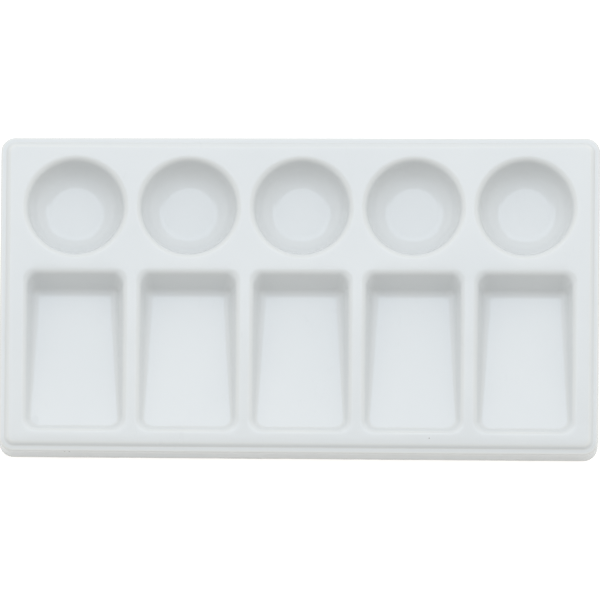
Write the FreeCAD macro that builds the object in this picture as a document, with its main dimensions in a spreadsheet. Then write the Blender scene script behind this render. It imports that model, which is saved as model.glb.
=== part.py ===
# A ten-well china mixing palette: five round bowls along the back, five slanted
# rectangular wells along the front, on a raised plateau inside a narrow shoulder.
#
# +Z is up and the foot ring stands on Z = 0.  The front edge, where the slanted
# wells run out almost level with the plateau, faces -Y; the bowls are at +Y.
# The origin is the middle of the footprint on the table.
#
# The pieces are the fired clay, the coat of glaze over the top and sides, and
# the coat of glaze in the hollow underneath.  Each of them lies between two of
# the same surfaces, so every surface is drawn by the routines below at its own
# distance under the finished top.

import FreeCAD, Part
import math
import os
import Sketcher

doc = FreeCAD.newDocument("mixing_palette")

# ---------------------------------------------------------------- the sizes, in mm

sizes = doc.addObject("Spreadsheet::Sheet", "Sizes")

SIZES = [
    ("length", 215.0, "over the shoulder, along X"),
    ("width", 115.9, "over the shoulder, along Y"),
    ("height", 13.0, "foot to plateau"),
    ("shoulder_height", 12.1, "foot to the shoulder outside the step"),
    ("shoulder_inset", 3.15, "shoulder edge to the top of the step, before rounding"),
    ("step_slope", 40.0, "slope of the step from plateau to shoulder, from level"),
    ("outer_corner", 5.2, "plan radius of the outer corners"),
    ("plateau_corner", 2.4, "plan radius of the plateau corners"),
    ("plateau_edge", 1.9, "rounding along the top of the step"),
    ("shoulder_edge", 0.7, "rounding along the outer top edge"),
    ("step_hollow", 0.9, "hollow rounding at the foot of the step"),
    ("foot_edge", 0.7, "rounding along the outer edge of the foot"),
    ("coat", 0.3, "thickness of the glaze"),
    ("bare_band", 1.2, "height of the unglazed band above the foot"),
    ("bare_margin", 1.4, "unglazed band inside the foot ring"),
    ("well_pitch", 40.4, "middle to middle of neighbouring wells"),
    ("lip_radius", 2.3, "rounding along the lips of all wells"),
    ("wall_slope", 72.0, "slope of the bowls' and slants' side walls, from level"),
    ("bowl_middle", 32.1, "Y of the bowls' centres"),
    ("bowl_radius", 17.55, "bowl wall to centre at plateau level, before rounding"),
    ("bowl_depth", 8.8, "plateau to bowl floor"),
    ("bowl_hollow", 8.5, "radius of the hollow curve from wall to floor"),
    ("slant_half_width", 17.4, "middle to side wall at plateau level"),
    ("slant_back", 8.2, "Y of the back wall at plateau level"),
    ("slant_front", -50.1, "Y of the front wall at plateau level"),
    ("slant_deep", 9.0, "depth at the back of the slanted floor"),
    ("slant_shallow", 2.0, "depth at the front of the slanted floor"),
    ("back_slope", 59.0, "slope of the slants' back wall, from level"),
    ("front_slope", 50.0, "slope of the slants' front wall, from level"),
    ("runout_slope", 55.0, "slope of the side walls at the shallow end"),
    ("slant_top_corner", 3.2, "plan radius of the slants' corners at the top"),
    ("slant_floor_corner", 4.2, "corner radius on the slanted floor"),
    ("deep_hollow", 3.8, "hollow rounding of the floor at the deep end"),
    ("shallow_hollow", 1.3, "hollow rounding of the floor at the shallow end"),
    ("wall", 3.2, "well surface to the back of the same well underneath"),
    ("ring_width", 3.2, "width of the foot ring on the table"),
    ("ceiling", 7.0, "foot to the roof of the hollow underneath"),
    ("rim_slope", 76.0, "slope of the inner side of the rim, from level"),
    ("hollow_corner", 4.0, "plan radius of the hollow's corners at the foot"),
    ("overlap", 1.0, "how far cutting and joining shapes run past the faces they meet"),
]

for line, (alias, value, note) in enumerate(SIZES, start=1):
    sizes.set("A%d" % line, alias)
    sizes.set("B%d" % line, str(value))
    sizes.set("C%d" % line, note)
    sizes.setAlias("B%d" % line, alias)
doc.recompute()

SIZE = {alias: value for alias, value, note in SIZES}
WELLS = 5

# Sketches start from rough positions, which the solver then moves to the sheet's
# sizes.  These say how far walls move, roughly, for each mm that a surface lies
# under the finished one, and how far the slanted floor is tilted.
ROUGH_SIDE_GROWTH = 0.7
ROUGH_END_GROWTH = 0.5
ROUGH_TILT = -5.0

# Edges are told apart by where they lie, to within these distances.
SAME_LEVEL = 1e-4
NEAR = 0.1


# ---------------------------------------------------------------- small helpers

def plane_of(body, role):
    """The origin plane or axis of a body with the given role."""
    for item in body.Origin.OriginFeatures:
        if item.Role == role:
            return item
    raise RuntimeError("no %s in %s" % (role, body.Name))


def new_sketch(body, name, role, shift=None, tilt=None):
    """An empty sketch on one of the body's own origin planes.

    shift holds three expressions that move it and tilt is an expression that
    turns it about the X direction."""
    sketch = body.newObject("Sketcher::SketchObject", name)
    sketch.AttachmentSupport = [(plane_of(body, role), "")]
    sketch.MapMode = "FlatFace"
    if tilt is not None:
        sketch.AttachmentOffset = FreeCAD.Placement(
            FreeCAD.Vector(0, 0, 0), FreeCAD.Rotation(FreeCAD.Vector(1, 0, 0), ROUGH_TILT))
    if shift is not None:
        for letter, expression in zip("xyz", shift):
            sketch.setExpression(".AttachmentOffset.Base." + letter, expression)
    if tilt is not None:
        sketch.setExpression(".AttachmentOffset.Rotation.Angle", tilt)
    return sketch


def outline(sketch, corners, radii, start):
    """Draw four straight sides with four rounded corners.

    corners holds an (x, y) pair of expressions for each sharp corner, counter
    clockwise from the back right one; radii holds one expression for each
    corner; start holds rough positions and radii to begin solving from."""
    points = [FreeCAD.Vector(x, y, 0) for x, y, radius in start]
    rough = [radius for x, y, radius in start]
    arcs = []
    sides = []
    leaving = []
    arriving = []
    for index in range(4):
        here = points[index]
        to_previous = (points[index - 1] - here).normalize()
        to_next = (points[(index + 1) % 4] - here).normalize()
        angle = to_previous.getAngle(to_next)
        reach = rough[index] / math.tan(angle / 2)
        middle = here + (to_previous + to_next).normalize() * (rough[index] / math.sin(angle / 2))
        begin = here + to_previous * reach
        end = here + to_next * reach
        arriving.append(begin)
        leaving.append(end)
        first = math.atan2(begin.y - middle.y, begin.x - middle.x)
        last = math.atan2(end.y - middle.y, end.x - middle.x)
        if last < first:
            last += 2 * math.pi
        circle = Part.Circle(middle, FreeCAD.Vector(0, 0, 1), rough[index])
        arcs.append(sketch.addGeometry(Part.ArcOfCircle(circle, first, last), False))
    for index in range(4):
        side = Part.LineSegment(leaving[index], arriving[(index + 1) % 4])
        sides.append(sketch.addGeometry(side, False))
    marks = [sketch.addGeometry(Part.Point(point), True) for point in points]
    for index in range(4):
        follow = (index + 1) % 4
        sketch.addConstraint(Sketcher.Constraint("Tangent", arcs[index], 2, sides[index], 1))
        sketch.addConstraint(Sketcher.Constraint("Tangent", sides[index], 2, arcs[follow], 1))
        sketch.addConstraint(Sketcher.Constraint("PointOnObject", marks[index], 1, sides[index]))
        sketch.addConstraint(Sketcher.Constraint("PointOnObject", marks[index], 1, sides[index - 1]))
    for index, (x, y) in enumerate(corners):
        dimension(sketch, "DistanceX", marks[index], points[index].x, "x%d" % index, x)
        dimension(sketch, "DistanceY", marks[index], points[index].y, "y%d" % index, y)
        number = sketch.addConstraint(Sketcher.Constraint("Radius", arcs[index], rough[index]))
        sketch.renameConstraint(number, "radius%d" % index)
        sketch.setExpression("Constraints.radius%d" % index, radii[index])


def dimension(sketch, kind, mark, value, name, expression):
    """Measure a point from the sketch origin and tie it to an expression."""
    number = sketch.addConstraint(Sketcher.Constraint(kind, -1, 1, mark, 1, value))
    sketch.renameConstraint(number, name)
    sketch.setExpression("Constraints." + name, expression)


def centred_corners(half_x, half_y):
    """Expressions for the corners of an outline centred on the origin."""
    return [
        (half_x, half_y),
        ("-(%s)" % half_x, half_y),
        ("-(%s)" % half_x, "-(%s)" % half_y),
        (half_x, "-(%s)" % half_y),
    ]


def centred_start(half_x, half_y, radius):
    """Rough corner positions to go with centred_corners."""
    return [
        (half_x, half_y, radius),
        (-half_x, half_y, radius),
        (-half_x, -half_y, radius),
        (half_x, -half_y, radius),
    ]


# ---------------------------------------------------------------- the outer block

def block_corners(inset):
    """Corner expressions of the outer block, moved in by an expression."""
    half_x = "Sizes.length / 2 - (%s)" % inset
    half_y = "Sizes.width / 2 - (%s)" % inset
    return centred_corners(half_x, half_y)


def block_pad(body, name, inset, corner, top, rough_inset, rough_corner):
    """A pad from the foot up to an expression, on a rounded outline."""
    sketch = new_sketch(body, name + "_outline", "XY_Plane")
    start = centred_start(SIZE["length"] / 2 - rough_inset,
                          SIZE["width"] / 2 - rough_inset, rough_corner)
    outline(sketch, block_corners(inset), [corner] * 4, start)
    pad = body.newObject("PartDesign::Pad", name)
    pad.Profile = sketch
    pad.setExpression("Length", top)
    return pad


def plateau_pad(body, name, under, rough_under):
    """The plateau, drawn at its top and padded down into the slab with sloping sides.

    Moving the step in by a distance moves its sharp top edge by that distance
    times the tangent of half the slope."""
    moved = "%s * tan(Sizes.step_slope / 2 * 1 deg)" % under
    sketch = new_sketch(body, name + "_outline", "XY_Plane", ("0", "0", "Sizes.height - %s" % under))
    inset = SIZE["shoulder_inset"] + ROUGH_END_GROWTH * rough_under
    start = centred_start(SIZE["length"] / 2 - inset, SIZE["width"] / 2 - inset, SIZE["plateau_corner"])
    corner = "Sizes.plateau_corner - %s" % moved
    outline(sketch, block_corners("Sizes.shoulder_inset + %s" % moved), [corner] * 4, start)
    pad = body.newObject("PartDesign::Pad", name)
    pad.Profile = sketch
    pad.Reversed = True
    pad.setExpression("Length", "Sizes.height - Sizes.shoulder_height + Sizes.overlap")
    pad.setExpression("TaperAngle", "(90 - Sizes.step_slope) * 1 deg")
    return pad


def edges_where(shape, test):
    """Names of the edges of a shape that pass a test."""
    return ["Edge%d" % number for number, edge in enumerate(shape.Edges, start=1) if test(edge)]


def lies_at(edge, level):
    """Whether an edge lies flat at a height."""
    box = edge.BoundBox
    return abs(box.ZMin - level) < SAME_LEVEL and abs(box.ZMax - level) < SAME_LEVEL


def middle_of(edge):
    """The point half way along an edge."""
    return edge.valueAt((edge.FirstParameter + edge.LastParameter) / 2)


def depth_inside(edge):
    """How far the middle of an edge is inside the outer block, seen from above."""
    middle = middle_of(edge)
    return min(SIZE["length"] / 2 - abs(middle.x), SIZE["width"] / 2 - abs(middle.y))


def round_off(body, name, feature, test, radius):
    """A fillet on the edges of a feature that pass a test."""
    doc.recompute()
    fillet = body.newObject("PartDesign::Fillet", name)
    fillet.Base = (feature, edges_where(feature.Shape, test))
    fillet.setExpression("Radius", radius)
    doc.recompute()
    return fillet


# ---------------------------------------------------------------- the wells

def repeat_along(body, name, feature):
    """Repeat a feature for all the wells of a row, starting from the left one."""
    pattern = body.newObject("PartDesign::LinearPattern", name)
    pattern.Originals = [feature]
    pattern.Direction = (plane_of(body, "X_Axis"), [""])
    pattern.setExpression("Length", "%d * Sizes.well_pitch" % (WELLS - 1))
    pattern.Occurrences = WELLS
    body.Tip = pattern
    doc.recompute()
    return pattern


def bowl_profile(body, name, under, rough_under):
    """Half of a bowl's section at a distance under the finished surface.

    The wall runs down at the wall slope, turns through the hollow curve and
    ends in the level floor; above the plateau it runs on past the top."""
    left = "-%d * Sizes.well_pitch" % (WELLS // 2)
    top = "Sizes.height - (%s)" % under
    sketch = new_sketch(body, name, "XZ_Plane", (left, top, "-Sizes.bowl_middle"))

    slope = math.radians(SIZE["wall_slope"])
    hollow = SIZE["bowl_hollow"] + rough_under
    mouth = SIZE["bowl_radius"] + rough_under * math.tan(slope / 2)
    depth = SIZE["bowl_depth"]
    above = SIZE["overlap"]
    lower_corner = mouth - depth / math.tan(slope)
    reach = hollow * math.tan(slope / 2)
    floor_end = FreeCAD.Vector(lower_corner - reach, -depth, 0)
    wall_end = FreeCAD.Vector(lower_corner + reach * math.cos(slope),
                              -depth + reach * math.sin(slope), 0)
    wall_top = FreeCAD.Vector(mouth + above / math.tan(slope), above, 0)
    middle = FreeCAD.Vector(floor_end.x, floor_end.y + hollow, 0)
    circle = Part.Circle(middle, FreeCAD.Vector(0, 0, 1), hollow)
    first = -math.pi / 2
    last = first + slope

    foot = FreeCAD.Vector(0, -depth, 0)
    head = FreeCAD.Vector(0, above, 0)
    floor = sketch.addGeometry(Part.LineSegment(foot, floor_end), False)
    curve = sketch.addGeometry(Part.ArcOfCircle(circle, first, last), False)
    wall = sketch.addGeometry(Part.LineSegment(wall_end, wall_top), False)
    cap = sketch.addGeometry(Part.LineSegment(wall_top, head), False)
    axis = sketch.addGeometry(Part.LineSegment(head, foot), False)
    rim = sketch.addGeometry(Part.Point(FreeCAD.Vector(mouth, 0, 0)), True)
    link = Sketcher.Constraint
    sketch.addConstraint(link("Tangent", floor, 2, curve, 1))
    sketch.addConstraint(link("Tangent", curve, 2, wall, 1))
    sketch.addConstraint(link("Coincident", wall, 2, cap, 1))
    sketch.addConstraint(link("Coincident", cap, 2, axis, 1))
    sketch.addConstraint(link("Coincident", axis, 2, floor, 1))
    sketch.addConstraint(link("Horizontal", floor))
    sketch.addConstraint(link("Horizontal", cap))
    sketch.addConstraint(link("PointOnObject", axis, 1, -2))
    sketch.addConstraint(link("PointOnObject", axis, 2, -2))
    sketch.addConstraint(link("PointOnObject", rim, 1, -1))
    sketch.addConstraint(link("PointOnObject", rim, 1, wall))
    numbers = [
        ("mouth", link("DistanceX", -1, 1, rim, 1, mouth),
         "Sizes.bowl_radius + (%s) * tan(Sizes.wall_slope / 2 * 1 deg)" % under),
        ("depth", link("DistanceY", floor, 1, -1, 1, depth), "Sizes.bowl_depth"),
        ("above", link("DistanceY", -1, 1, cap, 2, above), "Sizes.overlap"),
        ("hollow", link("Radius", curve, hollow), "Sizes.bowl_hollow + (%s)" % under),
        ("slope", link("Angle", wall, slope), "Sizes.wall_slope * 1 deg"),
    ]
    for alias, constraint, expression in numbers:
        number = sketch.addConstraint(constraint)
        sketch.renameConstraint(number, alias)
        sketch.setExpression("Constraints." + alias, expression)
    return sketch


def slope_of(alias):
    """Rise over run of a slope that the sheet gives in degrees."""
    return math.tan(math.radians(SIZE[alias]))


def floor_ends():
    """Y of the sharp back and front edges of the slanted floor."""
    back = SIZE["slant_back"] - SIZE["slant_deep"] / slope_of("back_slope")
    front = SIZE["slant_front"] + SIZE["slant_shallow"] / slope_of("front_slope")
    return back, front


def slant_outlines(body, name, under, rough_under):
    """The mouth and the floor of a slanted well, as two sketches.

    Moving a wall out by a distance moves the sharp edge between it and a level
    face by that distance times the tangent of half the slope."""
    left = "-%d * Sizes.well_pitch" % (WELLS // 2)
    grow_side = "(%s) * tan(Sizes.wall_slope / 2 * 1 deg)" % under
    grow_back = "(%s) * tan(Sizes.back_slope / 2 * 1 deg)" % under
    grow_front = "(%s) * tan(Sizes.front_slope / 2 * 1 deg)" % under
    grow_runout = "(%s) * tan(Sizes.runout_slope / 2 * 1 deg)" % under

    back = "Sizes.slant_back + %s" % grow_back
    front = "Sizes.slant_front - %s" % grow_front
    half = "Sizes.slant_half_width + %s" % grow_side
    mouth = new_sketch(body, name + "_mouth", "XY_Plane", (left, "0", "Sizes.height - (%s)" % under))
    corners = [(half, back), ("-(%s)" % half, back), ("-(%s)" % half, front), (half, front)]
    sideways = ROUGH_SIDE_GROWTH * rough_under
    endways = ROUGH_END_GROWTH * rough_under
    rough_half = SIZE["slant_half_width"] + sideways
    corner = SIZE["slant_top_corner"] + sideways
    start = [
        (rough_half, SIZE["slant_back"] + endways, corner),
        (-rough_half, SIZE["slant_back"] + endways, corner),
        (-rough_half, SIZE["slant_front"] - endways, corner),
        (rough_half, SIZE["slant_front"] - endways, corner),
    ]
    outline(mouth, corners, ["Sizes.slant_top_corner + %s" % grow_side] * 4, start)

    floor_back = "Sizes.slant_back - Sizes.slant_deep / tan(Sizes.back_slope * 1 deg) + %s" % grow_back
    floor_front = "Sizes.slant_front + Sizes.slant_shallow / tan(Sizes.front_slope * 1 deg) - %s" % grow_front
    fall = "Sizes.slant_deep - Sizes.slant_shallow"
    run = "(%s) - (%s)" % (floor_back, floor_front)
    tilt = "-atan((%s) / (%s))" % (fall, run)
    length = "sqrt((%s) * (%s) + (%s) * (%s))" % (run, run, fall, fall)
    deep_half = "Sizes.slant_half_width - Sizes.slant_deep / tan(Sizes.wall_slope * 1 deg) + %s" % grow_side
    shallow_half = ("Sizes.slant_half_width - Sizes.slant_shallow / tan(Sizes.runout_slope * 1 deg)"
                    " + %s" % grow_runout)
    level = "Sizes.height - (%s) - Sizes.slant_deep" % under
    floor = new_sketch(body, name + "_floor", "XY_Plane", (left, floor_back, level), tilt)
    corners = [
        (deep_half, "0"),
        ("-(%s)" % deep_half, "0"),
        ("-(%s)" % shallow_half, "-(%s)" % length),
        (shallow_half, "-(%s)" % length),
    ]
    rough_deep = rough_half - SIZE["slant_deep"] / slope_of("wall_slope")
    rough_shallow = rough_half - SIZE["slant_shallow"] / slope_of("runout_slope")
    rough_back, rough_front = floor_ends()
    rough_length = rough_back - rough_front + 2 * endways
    corner = SIZE["slant_floor_corner"] + sideways
    start = [
        (rough_deep, 0.0, corner),
        (-rough_deep, 0.0, corner),
        (-rough_shallow, -rough_length, corner),
        (rough_shallow, -rough_length, corner),
    ]
    outline(floor, corners, ["Sizes.slant_floor_corner + %s" % grow_side] * 4, start)
    return mouth, floor


# ---------------------------------------------------------------- the upper surface

def upper_form(name, under, rough_under):
    """A solid block with all ten wells, at a distance under the finished surface.

    It has no hollow underneath; under is the distance as an expression and
    rough_under is the same distance as a number."""
    body = doc.addObject("PartDesign::Body", name)
    shoulder_top = SIZE["shoulder_height"] - rough_under
    plateau_top = SIZE["height"] - rough_under
    block_pad(body, name + "_slab", under, "Sizes.outer_corner - %s" % under,
              "Sizes.shoulder_height - %s" % under, rough_under, SIZE["outer_corner"])
    plateau_pad(body, name + "_plateau", under, rough_under)

    bowl = body.newObject("PartDesign::Groove", name + "_bowl")
    section = bowl_profile(body, name + "_bowl_section", under, rough_under)
    bowl.Profile = section
    bowl.ReferenceAxis = (section, ["V_Axis"])
    bowl.Angle = 360
    repeat_along(body, name + "_bowls", bowl)

    mouth, floor = slant_outlines(body, name + "_slant", under, rough_under)
    slant = body.newObject("PartDesign::SubtractiveLoft", name + "_slant")
    slant.Profile = mouth
    slant.Sections = [floor]
    slant.Ruled = True
    slants = repeat_along(body, name + "_slants", slant)

    between_step_and_lips = SIZE["shoulder_inset"] + SIZE["outer_corner"] / 2
    between_edge_and_step = SIZE["shoulder_inset"] / 2

    def on_lip(edge):
        return lies_at(edge, plateau_top) and depth_inside(edge) > between_step_and_lips

    def on_plateau_edge(edge):
        return lies_at(edge, plateau_top) and depth_inside(edge) < between_step_and_lips

    def on_step_foot(edge):
        return lies_at(edge, shoulder_top) and depth_inside(edge) > between_edge_and_step

    def on_shoulder_edge(edge):
        return lies_at(edge, shoulder_top) and depth_inside(edge) < between_edge_and_step

    edge = round_off(body, name + "_shoulder_edge", slants, on_shoulder_edge,
                     "Sizes.shoulder_edge - %s" % under)
    lips = round_off(body, name + "_lips", edge, on_lip, "Sizes.lip_radius - %s" % under)
    top = round_off(body, name + "_plateau_edge", lips, on_plateau_edge,
                    "Sizes.plateau_edge - %s" % under)
    round_off(body, name + "_step_foot", top, on_step_foot, "Sizes.step_hollow + %s" % under)
    return hollow_floors(body, name + "_floor_hollows", rough_under)


def hollow_floors(body, name, rough_under):
    """Round the corner between the walls and the floor of every slanted well.

    The rounding is widest at the deep end and narrows evenly to the shallow
    end, so each edge gets a radius for each of its two ends."""
    back, front = floor_ends()
    furthest = back + ROUGH_SIDE_GROWTH * rough_under + NEAR
    highest = SIZE["height"] - rough_under - SIZE["slant_shallow"] + NEAR
    inside_step = 2 * SIZE["shoulder_inset"]

    def on_floor(edge):
        box = edge.BoundBox
        return NEAR < box.ZMin and box.ZMax < highest and box.YMax < furthest

    def radius_at(point):
        along = min(max((point.y - front) / (back - front), 0.0), 1.0)
        span = SIZE["deep_hollow"] - SIZE["shallow_hollow"]
        return SIZE["shallow_hollow"] + along * span + rough_under

    rows = []
    for number, edge in enumerate(body.Shape.Edges, start=1):
        if on_floor(edge) and depth_inside(edge) > inside_step:
            first = radius_at(edge.valueAt(edge.FirstParameter))
            last = radius_at(edge.valueAt(edge.LastParameter))
            rows.append((number, first, last))
    if len(rows) != 8 * WELLS:
        raise RuntimeError("%s found %d floor edges" % (name, len(rows)))
    hollows = doc.addObject("Part::Fillet", name)
    hollows.Base = body
    hollows.Edges = rows
    doc.recompute()
    return hollows


# ---------------------------------------------------------------- the hollow underneath

def hollow_form(name, under, rough_under, grow):
    """The empty space underneath, as a solid: a tapered block less the wells' backs.

    under is the distance of the wells' backs under the finished top and grow
    is how far the other walls of the hollow are moved out into the clay."""
    body = doc.addObject("PartDesign::Body", name)
    inset = "Sizes.ring_width - %s / sin(Sizes.rim_slope * 1 deg)" % grow
    roof = block_pad(body, name + "_roof", inset, "Sizes.hollow_corner + %s" % grow,
                     "Sizes.ceiling + %s" % grow, SIZE["ring_width"], SIZE["hollow_corner"])
    roof.setExpression("TaperAngle", "(Sizes.rim_slope - 90) * 1 deg")

    bowl = body.newObject("PartDesign::Groove", name + "_bowl_back")
    section = bowl_profile(body, name + "_bowl_back_section", under, rough_under)
    bowl.Profile = section
    bowl.ReferenceAxis = (section, ["V_Axis"])
    bowl.Angle = 360
    repeat_along(body, name + "_bowl_backs", bowl)

    mouth, floor = slant_outlines(body, name + "_slant_back", under, rough_under)
    slant = body.newObject("PartDesign::SubtractiveLoft", name + "_slant_back")
    slant.Profile = mouth
    slant.Sections = [floor]
    slant.Ruled = True
    repeat_along(body, name + "_slant_backs", slant)
    return body


def cut(name, base, tool):
    """What is left of one shape outside another."""
    result = doc.addObject("Part::Cut", name)
    result.Base = base
    result.Tool = tool
    doc.recompute()
    return result


def level_block(name, inset, top):
    """A plain block from under the foot up to an expression."""
    block = doc.addObject("Part::Box", name)
    block.setExpression("Length", "Sizes.length - 2 * (%s)" % inset)
    block.setExpression("Width", "Sizes.width - 2 * (%s)" % inset)
    block.setExpression("Height", "Sizes.overlap + (%s)" % top)
    block.setExpression(".Placement.Base.x", "-(Sizes.length / 2 - (%s))" % inset)
    block.setExpression(".Placement.Base.y", "-(Sizes.width / 2 - (%s))" % inset)
    block.setExpression(".Placement.Base.z", "-Sizes.overlap")
    doc.recompute()
    return block


# ---------------------------------------------------------------- the pieces

finished_top = upper_form("finished_top", "0", 0.0)
clay_top = upper_form("clay_top", "Sizes.coat", SIZE["coat"])
finished_hollow = hollow_form("finished_hollow", "Sizes.wall", SIZE["wall"], "0")
clay_hollow = hollow_form("clay_hollow", "(Sizes.wall - Sizes.coat)",
                          SIZE["wall"] - SIZE["coat"], "Sizes.coat")

# The clay, with its foot ring rounded on the outside.
clay = cut("clay", clay_top, clay_hollow)
foot_edges = []
for number, edge in enumerate(clay.Shape.Edges, start=1):
    if lies_at(edge, 0.0) and depth_inside(edge) < SIZE["ring_width"] / 2 + SIZE["coat"]:
        foot_edges.append((number, SIZE["foot_edge"], SIZE["foot_edge"]))
porcelain_body = doc.addObject("Part::Fillet", "porcelain_body")
porcelain_body.Base = clay
porcelain_body.Edges = foot_edges

# The coat outside: everything between the two upper surfaces, above the bare band.
bare_foot = level_block("bare_foot", "-Sizes.overlap", "Sizes.bare_band")
glazed_block = cut("glazed_block", finished_top, bare_foot)
glaze_top = cut("glaze_top", glazed_block, clay_top)

# The coat in the hollow, kept off the inner edge of the foot ring.
bare_slab = level_block("bare_slab", "-Sizes.overlap", "Sizes.bare_band")
bare_middle = level_block("bare_middle", "Sizes.ring_width + Sizes.bare_margin",
                          "Sizes.bare_band + Sizes.overlap")
bare_ring = cut("bare_ring", bare_slab, bare_middle)
hollow_coat = cut("hollow_coat", clay_hollow, finished_hollow)
glaze_underside = cut("glaze_underside", hollow_coat, bare_ring)
doc.recompute()

PIECES = [porcelain_body, glaze_top, glaze_underside]

for item in doc.Objects:
    if "Invalid" in item.State or "Error" in item.State:
        raise RuntimeError("%s failed: %s" % (item.Name, item.State))
for piece in PIECES:
    piece.Label = piece.Name
    shape = piece.Shape
    if shape.isNull() or not shape.isValid() or len(shape.Solids) != 1:
        raise RuntimeError("%s is not one sound solid: %d" % (piece.Label, len(shape.Solids)))

os.makedirs("parts", exist_ok=True)
for piece in PIECES:
    piece.Shape.exportStep("parts/%s.step" % piece.Label)
    box = piece.Shape.BoundBox
    print("%-16s %9.1f mm3  X %7.2f %7.2f  Y %7.2f %7.2f  Z %6.2f %6.2f" % (
        piece.Label, piece.Shape.Volume, box.XMin, box.XMax, box.YMin, box.YMax, box.ZMin, box.ZMax))
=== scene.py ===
"""A ten-well china mixing palette: five bowls behind five slanted wells.

The palette is one body of fired clay.  White glaze covers its top and sides and
the hollow underneath, and stops short of the foot ring, which was wiped clean so
that the palette could stand in the kiln.  Each of the three is a closed skin here,
drawn in millimetres from the same outlines and turned to metres at the end.
"""

import math

import bmesh
import bpy
import numpy as np
from mathutils import Matrix, Vector, noise
from mathutils.geometry import delaunay_2d_cdt


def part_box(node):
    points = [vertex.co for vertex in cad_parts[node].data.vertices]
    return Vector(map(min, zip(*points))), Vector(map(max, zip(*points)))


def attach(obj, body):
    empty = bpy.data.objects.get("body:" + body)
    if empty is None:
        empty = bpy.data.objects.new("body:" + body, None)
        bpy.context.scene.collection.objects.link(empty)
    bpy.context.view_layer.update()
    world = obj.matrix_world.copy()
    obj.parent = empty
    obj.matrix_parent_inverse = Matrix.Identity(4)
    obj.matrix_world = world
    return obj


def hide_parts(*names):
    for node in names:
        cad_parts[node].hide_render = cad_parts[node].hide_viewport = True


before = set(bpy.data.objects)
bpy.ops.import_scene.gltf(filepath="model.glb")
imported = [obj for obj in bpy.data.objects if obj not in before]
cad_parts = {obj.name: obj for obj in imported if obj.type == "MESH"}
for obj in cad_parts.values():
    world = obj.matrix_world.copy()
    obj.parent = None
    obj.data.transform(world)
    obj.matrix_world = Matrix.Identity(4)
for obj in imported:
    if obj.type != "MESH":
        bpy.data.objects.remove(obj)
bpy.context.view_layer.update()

MM = 0.001


# ------------------------------------------------------------------ sizes, in mm

def extent(node, axis):
    """Low and high end of a piece of the frame along an axis, in mm."""
    low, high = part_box(node)
    return low[axis] / MM, high[axis] / MM


HALF_LENGTH = (extent("glaze_top", 0)[1] - extent("glaze_top", 0)[0]) / 2
HALF_WIDTH = (extent("glaze_top", 1)[1] - extent("glaze_top", 1)[0]) / 2
PLATEAU = extent("glaze_top", 2)[1]
BARE_BAND = extent("glaze_top", 2)[0]
COAT = HALF_LENGTH - extent("porcelain_body", 0)[1]
ROOF = extent("glaze_underside", 2)[1] - COAT
RING_WIDTH = HALF_LENGTH - extent("glaze_underside", 0)[1]

# The step from plateau to shoulder, the outer edges and the foot ring.
STEP_HEIGHT = 0.9
SHOULDER = PLATEAU - STEP_HEIGHT
STEP_INSET = 3.15
STEP_SLOPE = math.radians(40.0)
STEP_EDGE = 1.9
STEP_HOLLOW = 0.9
SHOULDER_EDGE = 0.7
FOOT_ROUND = 0.7
INNER_FOOT_ROUND = 0.4
OUTER_CORNER = 5.2
CORNER_SHRINK = 0.93
HOLLOW_CORNER = 4.0
RIM_SLOPE = math.radians(76.0)


def reach(turn):
    """How far a rounding of 1 mm radius reaches along each of the two faces that
    it joins, when they turn by an angle."""
    return math.tan(turn / 2)


def run(depth, slope):
    """How far a wall goes sideways while it goes down."""
    return depth / math.tan(slope)


CLAY_INSIDE = RING_WIDTH - COAT / math.sin(RIM_SLOPE)

# All wells, and the bowls.  A top is where a wall's slope would meet the plateau, a
# mouth is where its lip begins to turn down and a floor is where it levels out.
WELLS = 5
PITCH = 40.4
LIP = 2.3
WALL_SLOPE = math.radians(72.0)
BOWL_MIDDLE = 32.1
BOWL_TOP = 17.55
BOWL_DEPTH = 8.8
BOWL_HOLLOW = 8.5
BOWL_MOUTH = BOWL_TOP + LIP * reach(WALL_SLOPE)
BOWL_FLOOR = BOWL_TOP - run(BOWL_DEPTH, WALL_SLOPE) - BOWL_HOLLOW * reach(WALL_SLOPE)

# The slanted wells, deep at the back and running out to the front.
SLANT_TOP = 17.4
SLANT_BACK = 8.2
SLANT_FRONT = -50.1
DEEP = 9.0
SHALLOW = 2.0
BACK_SLOPE = math.radians(59.0)
FRONT_SLOPE = math.radians(50.0)
RUNOUT_SLOPE = math.radians(55.0)
DEEP_HOLLOW = 3.8
SHALLOW_HOLLOW = 1.3
DEEP_END = SLANT_BACK - run(DEEP, BACK_SLOPE)
SHALLOW_END = SLANT_FRONT + run(SHALLOW, FRONT_SLOPE)
FLOOR_RISE = (DEEP - SHALLOW) / (DEEP_END - SHALLOW_END)
FLOOR_TILT = math.atan(FLOOR_RISE)
SLANT_MOUTH = SLANT_TOP + LIP * reach(WALL_SLOPE)
SLANT_MOUTH_BACK = SLANT_BACK + LIP * reach(BACK_SLOPE)
SLANT_MOUTH_FRONT = SLANT_FRONT - LIP * reach(FRONT_SLOPE)
SLANT_MOUTH_CORNER = 4.6
SLANT_FLOOR_DEEP = SLANT_TOP - run(DEEP, WALL_SLOPE) - DEEP_HOLLOW * reach(WALL_SLOPE)
SLANT_FLOOR_SHALLOW = SLANT_TOP - run(SHALLOW, RUNOUT_SLOPE) - SHALLOW_HOLLOW * reach(RUNOUT_SLOPE)
SLANT_FLOOR_BACK = DEEP_END - DEEP_HOLLOW * reach(BACK_SLOPE + FLOOR_TILT)
SLANT_FLOOR_FRONT = SHALLOW_END + SHALLOW_HOLLOW * reach(FRONT_SLOPE - FLOOR_TILT)
SLANT_DEEP_CORNER = 1.6
SLANT_SHALLOW_CORNER = 3.4

# The backs of the wells, which hang like bosses into the hollow underneath.
BACKING = 3.2
BOSS_HOLLOW = 1.0
BOSS_FRONT = -46.0
BOSS_FRONT_WALL = 2.0
BOSS_EASE = 0.4

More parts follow.
